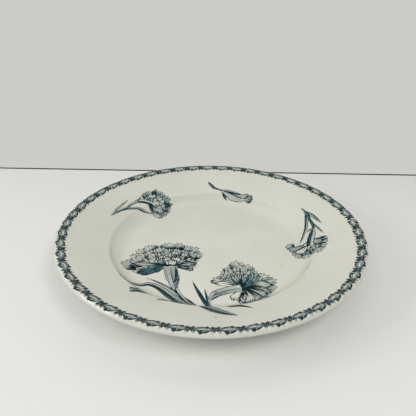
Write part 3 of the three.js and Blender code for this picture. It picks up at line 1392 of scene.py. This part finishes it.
CENTRE_SPRAY = Spray(
    "centre_spray",
    "centre_spray_print",
    11,
    (
        # The broad leaf, the thin leaf, the small bud and the twigs.
        Leaf(((-65, -49), (-58, -53.5), (-50, -53), (-45, -51), (-40, -52.5), (-35, -56),
            (-30, -61), (-25, -66), (-20, -71.5), (-14, -77.5)),
            (0.6, 2.6, 3.2, 4.4, 6.4, 6.8, 4.6), (0.85, 0.5, 0.4, 0.5, 0.75),
            (0.95, 0.85, 0.7, 0.6, 0.8), 0.6, 0.35),
        Leaf(((-55, -66), (-50, -66.5), (-45, -68.5), (-38, -70.8), (-30, -72.4), (-21, -72)),
            (3.2, 4.6, 0.7, 0.9, 1.5, 1.3), (0.8, 0.2, 0.5), (0.3, 0.8, 0.6), 0.5, 0),
        Leaf(((-54, -71), (-50.5, -69), (-46, -68.4)), (1.6, 2.2, 0.8), (0.8,), (0.8,), 0.5, 0.3),
        Leaf(((-35, -77), (-29, -76.4), (-22, -76.8), (-14, -78.5)), (1.2, 1.5, 0.8, 0.8),
            (0.7, 0.4), (0.6,)),
        Leaf(((-47, -44.3), (-41, -47), (-33, -52), (-27, -56.5), (-23, -61)),
            (0.4, 1.0, 1.3, 1.9, 1.6), (0.4, 0.7), (0.7,), 0.32, 0),
        # The spike leaves and the leaf at the lower right.
        Leaf(((-13, -47), (-10, -55), (-7, -62), (-3.8, -69.5), (-1, -77), (1, -84)),
            (0.4, 1.5, 2.4, 2.5, 2.2, 1.6), (0.9, 0.9), (0.7, 0.9), 0.5, 0),
        Leaf(((-4, -56), (-2.8, -62), (-1.6, -68), (-0.5, -74), (1, -82)), (0.4, 1.3, 2.0, 2.4, 2),
            (0.5,), (0.8,)),
        Leaf(((3, -80.4), (9, -80.4), (15, -81.3), (19, -81.2), (23, -83), (27.5, -86)),
            (0.5, 0.9, 2.9, 2.9, 1.8, 0.5), (0.9, 0.9, 0.8), (0.6, 0.9), 0.5, 0),
        # The right carnation's calyx and bloom.
        Bloom(
            (22, -53),
            ((-95, 21), (-78, 22.6), (-60, 22), (-42, 23.5), (-28, 22), (-8, 24.6), (8, 26.6),
             (22, 28), (35, 25.5), (48, 24), (62, 26.5), (78, 29.5), (93, 31), (106, 29),
             (118, 25.5), (133, 22.5), (150, 23), (160, 23)),
            (
                PetalRow(1.0, 0.70, 17, 3, 0.25, 1, 1.1, 0.8, 0.0, 1.0, 0.15),
                PetalRow(0.82, 0.60, 13, 3, 0.3, 1, 1.2, 0.9, 0.02, 0.98, 0.2),
                PetalRow(0.62, 0.50, 10, 3, 0.4, 1, 1.2, 1.0, 0.06, 0.96, 0.3),
                PetalRow(0.42, 0.2, 7, 3, 0.5, 1, 1.2, 1.1, 0.1, 0.95, 0.4),
            ),
            behind=(
                Petal((22, -55), (15.5, -67), 8.0, 0.6, 4, 1.6, streaks=2, weight=0.5),
                Petal((20, -52), (0.0, -46.5), 7.0, -1.5, 4, 2.0, tone=0.15, streaks=3, weight=0.6),
            ),
            front=(
                Petal((23, -52), (33, -39), 10, -1.5, 4, 2.2, tone=0.75, streaks=2, shade=0.9,
                    fringe=0.4),
                Petal((22, -52), (19.5, -37.5), 8.5, 1.0, 4, 2.0, tone=0.5, streaks=1, shade=-0.9,
                    fringe=0.5),
                Petal((22, -53), (10, -43), 7.5, 1.2, 4, 1.8, tone=0.4, streaks=1, shade=0.7,
                    fringe=0.5),
                Petal((22, -53), (3.5, -48.5), 5.5, -0.6, 3, 1.6, streaks=2, weight=0.7),
                Petal((23, -53), (44, -50), 8, 1.8, 4, 2.2, tone=0.2, streaks=3, weight=1.2,
                    shade=0.6),
                Petal((23, -54), (43, -59), 7, 2.6, 4, 2.4, tone=0.2, streaks=4, weight=1.1,
                    shade=0.9),
                Petal((23, -54), (39, -65), 7, 3.2, 4, 2.4, tone=0.3, streaks=4, weight=1.1,
                    shade=0.9),
                Petal((23, -54), (33, -70), 7, 3.2, 4, 2.2, tone=0.15, streaks=4, weight=1.1,
                    shade=0.9),
                Petal((23, -54), (26, -72), 6.5, 3.0, 4, 2.0, tone=0.1, streaks=3, weight=1.0,
                    shade=0.6),
                Petal((22, -53.5), (30, -45), 6, -1.0, 3, 1.5, tone=0.9, streaks=2, weight=1.2),
            ),
        ),
        Leaf(((-0.5, -68), (3, -61.5), (9, -58), (15, -55.6), (22, -54)), (2.2, 6.2, 6.8, 7.2, 7.6),
            (0.15, 0.35, 0.15), (0.6, 0.75, 0.5, 0.45), 0.5, 0.45, 0.8),
        Leaf(((-1, -68.5), (1, -64), (4.5, -57.5), (5.2, -55)), (1.4, 1.6, 1.4, 0.5), (0.3,),
            (0.5,), 0.36, 0),
        Leaf(((0, -67), (4, -63.4), (9, -61)), (1.6, 2.6, 0.5), (0.3,), (0.9,), 0.4, 0),
        # The left carnation's skirt, bloom and calyx.
        Bloom(
            (-31, -28),
            ((-22, 16), (-3, 18.5), (11, 21.5), (26, 26), (36, 30), (49, 32), (72, 30), (96, 30.5),
             (110, 30.5), (136, 33.5), (147, 35.5), (165, 38), (176, 37.5), (190, 32), (200, 28)),
            (
                PetalRow(1.0, 0.78, 14, 4, 0.25, 0, 1.2, 0.8, 0.0, 1.0, 0.2),
                PetalRow(0.83, 0.74, 12, 4, 0.25, 0, 1.2, 0.9, 0.0, 1.0, 0.25),
                PetalRow(0.66, 0.70, 10, 4, 0.2, 0, 1.2, 0.9, 0.02, 0.98, 0.25),
                PetalRow(0.50, 0.60, 8, 4, 0.2, 0, 1.2, 0.9, 0.04, 0.96, 0.25),
                PetalRow(0.36, 0.45, 5, 4, 0.1, 1, 1.2, 0.8, 0.06, 0.94, 0.3),
            ),
            behind=(
                Petal((-34, -29), (-60, -32), 6, -1.0, 4, 1.3, tone=0.1, streaks=3, shade=0.5),
                Petal((-28, -29), (-13, -33.5), 6, 1.2, 4, 1.3, tone=0.1, streaks=3, shade=0.5),
            ),
            front=(
                Petal((-32, -29), (-40, -19.5), 7.5, 0.8, 4, 2.0, tone=0.2, streaks=1, shade=0.7,
                    fringe=0.6),
                Petal((-29, -29), (-20, -19.5), 7.5, -0.8, 4, 2.0, tone=0.2, streaks=1, shade=-0.7,
                    fringe=0.6),
                Petal((-31, -29), (-34.5, -16.5), 7, 1.0, 4, 2.0, streaks=1, shade=0.8, fringe=0.5),
                Petal((-30, -29), (-25.5, -16.5), 7, -1.0, 4, 2.0, streaks=1, shade=-0.8,
                    fringe=0.5),
                Petal((-30.5, -29), (-30, -20.5), 9.5, 0.4, 5, 1.6, streaks=1, weight=0.5,
                    narrow=0.5, fringe=0.25),
                Petal((-31, -29.5), (-60, -26.5), 6, -0.8, 5, 2.2, tone=0.3, streaks=3, weight=1.3,
                    shade=0.9),
                Petal((-30, -29.5), (-11, -25.5), 5.5, 0.8, 4, 2.2, tone=0.4, streaks=3, weight=1.3,
                    shade=-0.9),
                Petal((-35, -28.5), (-54, -37.8), 9.0, 1.8, 5, 3.2, narrow=0.3, tone=0.95,
                    streaks=3, edge=0.8),
                Petal((-34, -28.5), (-42, -36), 7, -1.0, 3, 2.4, narrow=0.4, tone=0.95, streaks=2,
                    edge=0.8),
            ),
        ),
        Leaf(((-30.5, -29), (-29.6, -36), (-28.2, -43), (-26.5, -50), (-24, -57)),
            (10.5, 8.6, 7.4, 6.0, 3.2), (0.55, 0.45, 0.55, 0.75), (0.5, 0.4, 0.2, 0.6), 0.6, 0.5,
            0.8),
        Leaf(((-35.5, -31), (-33.5, -38), (-32, -44), (-29, -49.5)), (0.9, 1.4, 1.6, 0.6), (0.25,),
            (0.6,), 0.36, 0),
        Leaf(((-26.6, -30), (-25.4, -38), (-25.3, -45), (-26.6, -51)), (1.6, 2.2, 1.8, 0.5), (0.9,),
            (0.9,), 0.5, 0),
        Leaf(((-23.5, -38.5), (-23.2, -45), (-24, -52), (-24, -57)), (0.4, 1.0, 1.6, 2.0), (0.6,),
            (0.9,), 0.36, 0),
        # The stems, down to the root of the spray.
        Leaf(((-20, -63), (-17, -66.5), (-14, -69.5), (-9, -77), (-3, -82)),
            (0.5, 2.0, 3.0, 2.8, 1.2), (0.6, 0.9), (0.9,), 0.45, 0),
        Leaf(((-24.3, -56), (-22.5, -60), (-20, -64), (-16, -69.5), (-11, -75), (-6, -80),
            (0, -85.5), (6, -90)), (3.4, 2.8, 2.0, 2.2, 2.6, 3.2, 3.2, 1.5), (0.25, 0.2, 0.5, 0.7),
            (0.8, 0.9), 0.45, 0),
        Speck((3.5, -99.0), 0.9),
        Speck((54.0, -27.0), 0.9),
        Speck((-38.0, 21.0), 0.45),
        Speck((21.0, 12.0), 0.4),
        Speck((-8.0, 37.0), 0.45),
        Speck((47.0, 36.5), 0.6),
        Speck((-97.0, -38.0), 0.5),
        Speck((62.0, -80.0), 0.5),
        Leaf(((-10, -77.5), (-3, -82.5), (4, -88), (10, -92.3), (17, -96)),
            (1.2, 5.2, 7.0, 4.8, 0.5), (0.55, 0.5, 0.55, 0.7), (0.85, 0.6, 0.75, 0.9), 0.55, 0.4),
    ),
)

LEFT_SPRIG = Spray(
    "left_sprig",
    "left_sprig_print",
    23,
    (
        Leaf(((-85.5, 33), (-84, 39), (-81.5, 45), (-77, 55.5)), (0.9, 1.8, 1.5, 0.4), (0.3,),
            (0.6,), 0.4, 0),
        Leaf(((-83, 36), (-77, 43), (-72, 46), (-66, 48.3), (-53, 50)), (1.0, 2.6, 2.6, 2.2, 0.4),
            (0.4, 0.3), (0.9, 0.9), 0.45, 0),
        Bloom(
            (-56, 58),
            ((-52, 17.5), (-40, 18.8), (-10, 17), (15, 17.5), (30, 20.5), (50, 20.6), (67, 20.4),
             (90, 15.5), (110, 16), (135, 12)),
            (
                PetalRow(1.0, 0.60, 7, 4, 0.75, 0, 1.3, 1.3, 0.0, 1.0, 0.35),
                PetalRow(0.72, 0.5, 5, 4, 0.3, 1, 1.2, 1.1, 0.05, 0.95, 0.3),
                PetalRow(0.46, 0.1, 3, 3, 0.2, 1, 1.2, 0.9, 0.1, 0.85, 0.3),
            ),
            front=(
                Petal((-57, 58), (-44, 55), 6.5, 1, 4, 1.4, tone=0.1, streaks=3, weight=0.8,
                    shade=0.5),
                Petal((-58, 57.5), (-44.5, 43.5), 5.5, -1, 3, 1.2, tone=0.3, streaks=3, weight=0.9),
            ),
            depth=2.0,
        ),
        Leaf(((-70, 55), (-65, 58.6), (-60, 59), (-53, 58.5)), (1.6, 4.6, 4.6, 4.0),
            (0.15, 0.1, 0.2), (0.8, 0.95, 0.8), 0.5, 0.4, 0.8),
        Leaf(((-69, 56.5), (-67.6, 60), (-66.3, 64.2)), (1.4, 1.6, 0.4), (0.4,), (0.7,), 0.36, 0),
        Leaf(((-72, 52), (-70.5, 55), (-69.5, 59.5)), (1.2, 1.5, 0.4), (0.3,), (0.6,), 0.36, 0),
        Leaf(((-87, 29), (-84, 34), (-80, 40), (-76, 45.3), (-73.5, 50.5), (-69, 56)),
            (0.9, 1.9, 1.6, 1.5, 2.0, 1.8), (0.6, 0.3), (0.9,), 0.42, 0),
    ),
)

RIGHT_SPRIG = Spray(
    "right_sprig",
    "right_sprig_print",
    37,
    (
        Leaf(((83.5, 40), (88, 33), (91, 25), (93, 18.5)), (1.0, 1.8, 1.4, 0.4), (0.8,), (0.4,),
            0.4, 0),
        Leaf(((84, 38), (88, 29.5), (91.5, 20.5)), (0.9, 1.5, 0.4), (0.6,), (0.3,), 0.34, 0),
        Leaf(((83.2, 40), (82.6, 30), (80.2, 18), (77, 11), (73, 3.2)), (1.0, 2.8, 2.4, 1.8, 0.4),
            (0.4, 0.3), (0.95, 0.9), 0.45, 0),
        Leaf(((86, 22), (87.4, 19), (89.5, 12), (91.8, 4.5)), (0.9, 1.4, 1.2, 0.4), (0.8,), (0.4,),
            0.36, 0),
        Bloom(
            (80, 1),
            ((183, 20), (205, 17), (225, 19.5), (245, 22.5), (270, 21), (290, 20), (310, 15.6),
             (335, 14.5), (352, 13)),
            (
                PetalRow(1.0, 0.70, 8, 4, 0.3, 0, 1.2, 0.9),
                PetalRow(0.74, 0.62, 6, 4, 0.6, 0, 1.2, 1.1, 0.05, 0.95),
                PetalRow(0.48, 0.1, 4, 3, 0.6, 1, 1.3, 1.0, 0.1, 0.9, 0.3),
            ),
            front=(
                Petal((79, 1), (67.5, -10), 7.5, 1.5, 4, 1.2, streaks=1, weight=0.8),
                Petal((80, 1), (89, -6), 7, -1, 4, 1.4, tone=0.4, streaks=3, weight=0.9),
                Petal((79, 0), (62, -4), 6, 1.2, 3, 1.2, tone=0.4, streaks=3, covered=0.3,
                    weight=1.0, shade=0.6),
            ),
            depth=2.0,
        ),
        Leaf(((85.4, 14), (83.6, 8), (81.3, 2), (79.5, -5)), (2.4, 5.0, 5.4, 4.6), (0.5, 0.3, 0.3),
            (0.95, 0.9, 0.7), 0.5, 0.45, 0.8),
        Leaf(((85.5, 15), (82.5, 14), (79.8, 11.6)), (1.5, 1.6, 0.4), (0.4,), (0.7,), 0.36, 0),
        Leaf(((80.5, 46), (82.6, 40.5), (84.2, 34), (84.8, 28), (86, 20), (85.6, 14)),
            (0.6, 1.9, 2.4, 1.9, 2.2, 2.0), (0.9, 0.5), (0.4, 0.8), 0.42, 0),
    ),
)

SINGLE_BUD = Spray(
    "single_bud",
    "single_bud_print",
    53,
    (
        Leaf(((10, 84.5), (12, 79.5), (14.5, 75.2)), (1.2, 2.2, 0.5), (0.7,), (0.8,), 0.4, 0),
        Petal((26, 77), (38.8, 70.6), 7.2, 0.6, 5, 1.6, tone=0.45, streaks=3, covered=0.2,
            weight=0.9),
        Petal((25, 76), (35.5, 75.4), 5.0, 0.3, 3, 1.3, tone=0.4, streaks=2, covered=0.2,
            weight=0.8),
        Leaf(((9, 85), (14, 82.6), (20, 79), (27, 75.5), (31, 73.8)), (1.6, 6.6, 8.0, 7.4, 4.8),
            (0.75, 0.35, 0.5), (0.5, 0.2, 0.5), 0.6, 0.5, 0.85),
        Leaf(((12, 84), (18, 81.6), (25, 79), (29, 77.6)), (1.0, 2.2, 1.8, 0.4), (0.9,), (0.9,),
            0.45, 0),
        Leaf(((-3.8, 95.5), (-0.5, 91.5), (2.5, 88), (6, 86.6), (11, 84.4)),
            (0.8, 3.2, 2.2, 1.1, 1.3), (0.8, 0.6), (0.5, 0.8), 0.45, 0),
    ),
)


@dataclass(frozen=True)
class Garland:
    """The border: one repeat of loops and leaf blades, set out in a row and bent round the rim.

    radius is the middle of the border, and joins are the angles where its two strips meet.
    """

    shape: PlateShape = field(default_factory=PlateShape)
    radius: float = 115.4
    repeats: int = 49
    joins: tuple[float, float] = (7.4, 139.9)
    seed: int = 5

    @property
    def pitch(self) -> float:
        """The length of one repeat."""
        return 2 * math.pi * self.radius / self.repeats

    def _repeat(self) -> list[Line]:
        """Draws one repeat about the origin.

        Returns:
            The lines of an open loop, and of a knot of blades at its end.
        """
        pen = Engraving(self.seed)
        knot = self.pitch / 2
        upper = ((-5.6, -1.0), (-3.7, 1.1), (-0.9, 2.4), (2.2, 2.0), (5.4, -0.4))
        lower = ((-5.4, 0.4), (-2.8, -1.7), (0.4, -2.4), (3.4, -1.4), (5.6, 1.0))
        pen.line(((-2.5, -0.5), (-0.6, 0.6), (2.2, 0.4)), (0.2, 0.8, 0.2), 1)
        for leaf, left, right in ((upper, (0.95,), (0.5,)), (lower, (0.5,), (0.95,))):
            Leaf(leaf, (0.8, 1.8, 2.3, 1.9, 0.8), left, right, 0.3, 0, 0.5).draw(pen)
        blades = (
            ((knot + 0.4, -0.8), (knot - 1.5, 1.4), (knot - 2.9, 3.8)),
            ((knot - 0.9, -0.7), (knot + 1.2, 1.6), (knot + 2.5, 4.2)),
            ((knot - 0.4, 0.8), (knot + 1.4, -1.6), (knot + 2.9, -3.9)),
            ((knot + 0.9, 0.7), (knot - 1.0, -1.7), (knot - 2.3, -4.2)),
            ((0.2, 2.0), (1.6, 3.0), (2.4, 4.3)),
            ((-0.8, -2.0), (-2.0, -3.0), (-2.8, -4.3)),
        )
        for blade in blades:
            Leaf(blade, (1.6, 2.5, 2.1, 0.6), (0.95,), (0.95, 0.9, 0.6), 0.35, 0, 0.55).draw(pen)
        return pen.visible()

    def _bent(self, sheet: GeometrySheet, start: float, repeats: int) -> Wire:
        """Writes the tree that sets out the repeats and lays them on the rim and over the lip.

        Args:
            sheet: the tree.
            start: the angle where the strip begins, in degrees.
            repeats: how many repeats it has.

        Returns:
            The finished geometry.
        """
        shape = self.shape
        slope = shape.slope
        lip_radius = shape.lip_radius + shape.coat
        lip_start = shape.lip_centre[0] - lip_radius * math.sin(slope) - self.radius
        lip_start /= math.cos(slope)
        height = float(shape.height(np.array([self.radius]))[0])
        radius = sheet.given("Radius", self.radius * MM)
        rise = sheet.given("Height", height * MM)
        pitch = sheet.given("Pitch", self.pitch * MM)
        count = sheet.given("Repeats", repeats, "NodeSocketInt")
        first = sheet.given("Start angle", math.radians(start))
        tilt = sheet.given("Rim slope", slope)
        edge = sheet.given("Lip starts at", lip_start * MM)
        lip = sheet.given("Lip radius", lip_radius * MM)
        seed = sheet.given("Seed", self.seed, "NodeSocketInt")

        def cosine(angle: Wire) -> Wire:
            """The cosine of an angle."""
            return sheet.node("ShaderNodeMath", {"operation": "COSINE"}, {0: angle})

        def sine(angle: Wire) -> Wire:
            """The sine of an angle."""
            return sheet.node("ShaderNodeMath", {"operation": "SINE"}, {0: angle})

        def wobble(low: tuple, high: tuple, offset: int) -> Wire:
            """Draws a random vector for each repeat.

            Args:
                low: its least values.
                high: its greatest values.
                offset: what is added to the seed.

            Returns:
                The vector.
            """
            limits = {"Min": low, "Max": high, "Seed": seed + offset}
            kind = {"data_type": "FLOAT_VECTOR"}
            return sheet.node("FunctionNodeRandomValue", kind, limits, "Value")

        step = sheet.node("ShaderNodeCombineXYZ", inputs={"X": pitch})
        row = sheet.node("GeometryNodeMeshLine", inputs={"Count": count, "Offset": step})
        repeat = Wire(sheet, sheet.entry.outputs["Geometry"])
        placed = sheet.node(
            "GeometryNodeInstanceOnPoints",
            inputs={
                "Points": row,
                "Instance": repeat,
                "Rotation": wobble((0, 0, -0.07), (0, 0, 0.07), 1),
                "Scale": wobble((0.97, 0.92, 1), (1.03, 1.05, 1), 2),
            },
        )
        laid = sheet.node("GeometryNodeRealizeInstances", inputs={"Geometry": placed})
        spot = sheet.node("GeometryNodeInputPosition")
        along, across, lift = (
            sheet.node("ShaderNodeSeparateXYZ", inputs={"Vector": spot}, output=i) for i in range(3)
        )
        on_rim = sheet.node("ShaderNodeMath", {"operation": "MINIMUM"}, {0: across, 1: edge})
        over_lip = (across - on_rim) / lip
        upright = tilt + math.pi / 2
        facing = upright - over_lip
        out = radius + on_rim * cosine(tilt) + lip * (cosine(facing) - cosine(upright))
        up = rise + on_rim * sine(tilt) + lip * (sine(facing) - sine(upright))
        out = out + lift * cosine(facing)
        up = up + lift * sine(facing)
        angle = first - along / radius
        place = {"X": out * cosine(angle), "Y": out * sine(angle), "Z": up}
        bent = sheet.node("ShaderNodeCombineXYZ", inputs=place)
        return sheet.node("GeometryNodeSetPosition", inputs={"Geometry": laid, "Position": bent})

    def _strip(self, name: str, node: str, start: float, repeats: int) -> None:
        """Makes one strip, one piece for each ink.

        Args:
            name: what the strip is called.
            node: the frame's node that it stands for.
            start: the angle where it begins, in degrees.
            repeats: how many repeats it has.
        """
        for part, finish, lines in by_ink(self._repeat()):
            motif = Film(FlatBed()).build(f"{name}_{part}", lines)
            sheet = GeometrySheet(f"{name}_{part}")
            bent = self._bent(sheet, start, repeats)
            ink = sheet.given("Ink", finish.material(), "NodeSocketMaterial")
            dressed = {"Geometry": bent, "Material": ink}
            piece = sheet.baked(motif, sheet.node("GeometryNodeSetMaterial", inputs=dressed))
            Film.flat_map(piece.data)
            finish.on(piece, node)

    def build(self) -> None:
        """Makes both strips, back and front; each runs clockwise from its start."""
        turn = 360 / self.repeats
        back = round((self.joins[1] - self.joins[0]) / turn)
        self._strip("border_back", "border_strip_back", self.joins[1] - turn / 2, back)
        front = self.repeats - back
        self._strip("border_front", "border_strip_front", self.joins[0] - turn / 2, front)


# ---- Surroundings. ----


@dataclass(frozen=True)
class Lamp:
    """A soft rectangular light that looks at the plate."""

    name: str
    at: tuple[float, float, float]
    size: tuple[float, float]
    watts: float
    mirrored: bool = False

    def build(self) -> None:
        """Adds the light; only a mirrored one shows as a highlight in the glaze."""
        light = bpy.data.lights.new(self.name, "AREA")
        light.shape = "RECTANGLE"
        light.size, light.size_y = self.size
        light.energy = self.watts
        lamp = bpy.data.objects.new(self.name, light)
        lamp.location = self.at
        lamp.visible_glossy = self.mirrored
        lamp.rotation_euler = (-Vector(self.at)).to_track_quat("-Z", "Y").to_euler()
        bpy.context.collection.objects.link(lamp)


@dataclass(frozen=True)
class Studio:
    """The pale table, the lights, the room and the camera, in metres and degrees.

    The table runs out to reach, but behind the plate it ends at edge_distance in a dark strip of
    painted shadow, the shade in the seam behind it. The lens and the sensor are in millimetres.
    """

    edge_distance: float = 0.161
    edge_turn: float = 0.55
    shadow_gap_width: float = 0.003
    reach: float = 1.6
    reflector_height: float = 1.2
    room: float = 0.02
    backdrop: tuple[float, float, float] = (0.605, 0.605, 0.575)
    camera_at: tuple[float, float, float] = (0.0, -0.2982, 0.2040)
    camera_pitch: float = 28.67
    camera_roll: float = 0.56
    camera_yaw: float = -0.52
    lens: float = 37.644
    sensor: float = 36.0

    def _board(self, name: str, corners: Sequence[tuple], finish: PaleBoard) -> bpy.types.Object:
        """Adds one flat board of the surroundings.

        Args:
            name: its name.
            corners: its four corners.
            finish: its paint.

        Returns:
            The board.
        """
        mesh = bpy.data.meshes.new(name)
        mesh.from_pydata(corners, [], [(0, 1, 2, 3)])
        board = bpy.data.objects.new(name, mesh)
        board.data.materials.append(finish.material())
        bpy.context.collection.objects.link(board)
        return board

    def boards(self) -> None:
        """Adds the table, which ends in a dark strip of painted shadow, and a reflector that only
        the light meets.
        """
        reach, edge, tall = self.reach, self.shadow_gap_width, self.reflector_height
        lean = math.tan(math.radians(self.edge_turn)) * reach
        left, right = self.edge_distance + lean, self.edge_distance - lean
        near = [(-reach, -reach, 0), (reach, -reach, 0)]
        behind = [(reach, right, 0), (-reach, left, 0)]
        paint = PaleBoard("table_board", (0.80, 0.80, 0.785), (0.77, 0.77, 0.755), 0.42)
        self._board("table", near + behind, paint)
        # The dark strip is painted shadow: a near-black board that stands in for the shade in the
        # seam behind the table.
        far = [(reach, right + edge, 0), (-reach, left + edge, 0)]
        paint = PaleBoard("table_edge_board", (0.15, 0.15, 0.14), (0.12, 0.12, 0.11), 0.9)
        self._board("table_edge", behind[::-1] + far, paint)
        above = [(reach, right, tall), (-reach, left, tall)]
        paint = PaleBoard("reflector_board", (0.80, 0.795, 0.775), (0.775, 0.77, 0.75), 0.7)
        self._board("reflector", behind[::-1] + above, paint).visible_camera = False

    def lights(self) -> None:
        """Adds the lights."""
        Lamp("softbox_front", (0.0, -1.0, 0.95), (0.6, 0.6), 6.8).build()
        Lamp("softbox_front_right", (0.45, -0.5, 0.9), (0.4, 0.4), 2.9).build()
        Lamp("softbox_front_left", (-0.45, -0.5, 0.9), (0.4, 0.4), 1.1).build()
        Lamp("window_left", (-1.2, -0.3, 0.6), (0.7, 0.5), 6.5, mirrored=True).build()
        Lamp("window_right", (1.2, -0.3, 0.55), (0.3, 0.3), 0.8, mirrored=True).build()

    def surroundings(self) -> None:
        """Adds the room: dim as a light, pale behind the table, with its tones left as they are."""
        bpy.context.scene.view_settings.view_transform = "Standard"
        world = bpy.data.worlds.new("room")
        world.use_nodes = True
        sheet = Sheet(world.node_tree)
        dim, pale = (
            sheet.node("ShaderNodeBackground", inputs={"Color": colour, "Strength": strength})
            for colour, strength in (((1, 1, 1, 1), self.room), ((*self.backdrop, 1), 1.0))
        )
        seen = sheet.node("ShaderNodeLightPath", output="Is Camera Ray")
        both = sheet.node("ShaderNodeMixShader", inputs={0: seen, 1: dim, 2: pale})
        output = sheet.tree.nodes.new("ShaderNodeOutputWorld")
        sheet.tree.links.new(both.socket, output.inputs["Surface"])
        bpy.context.scene.world = world

    def camera(self) -> None:
        """Adds the camera; a level turn, then a tilt down, then a roll about its own axis."""
        pitch, roll, yaw = map(math.radians, (self.camera_pitch, self.camera_roll, self.camera_yaw))
        level = math.cos(pitch)
        ahead = Vector((math.sin(yaw) * level, math.cos(yaw) * level, -math.sin(pitch)))
        right = Vector((math.cos(yaw), -math.sin(yaw), 0))
        up = right.cross(ahead)
        right, up = (
            right * math.cos(roll) + up * math.sin(roll),
            up * math.cos(roll) - right * math.sin(roll),
        )
        data = bpy.data.cameras.new("camera")
        data.lens, data.sensor_width = self.lens, self.sensor
        data.clip_start = 0.01
        camera = bpy.data.objects.new("camera", data)
        turn = Matrix((right, up, -ahead)).transposed().to_4x4()
        camera.matrix_world = Matrix.Translation(self.camera_at) @ turn
        bpy.context.collection.objects.link(camera)
        bpy.context.scene.camera = camera


def main() -> None:
    """Builds the plate and its surroundings in order."""
    logging.basicConfig(level=logging.INFO, format="%(name)s: %(message)s")
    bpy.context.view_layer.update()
    studio = Studio()
    studio.camera()
    studio.boards()
    studio.lights()
    studio.surroundings()
    pottery = Pottery()
    pottery.body()
    pottery.coat()
    pottery.recess()
    film = Film(pottery.shape)
    for spray in (CENTRE_SPRAY, LEFT_SPRIG, RIGHT_SPRIG, SINGLE_BUD):
        spray.build(film)
    Garland(pottery.shape).build()


if __name__ == "__main__":
    main()
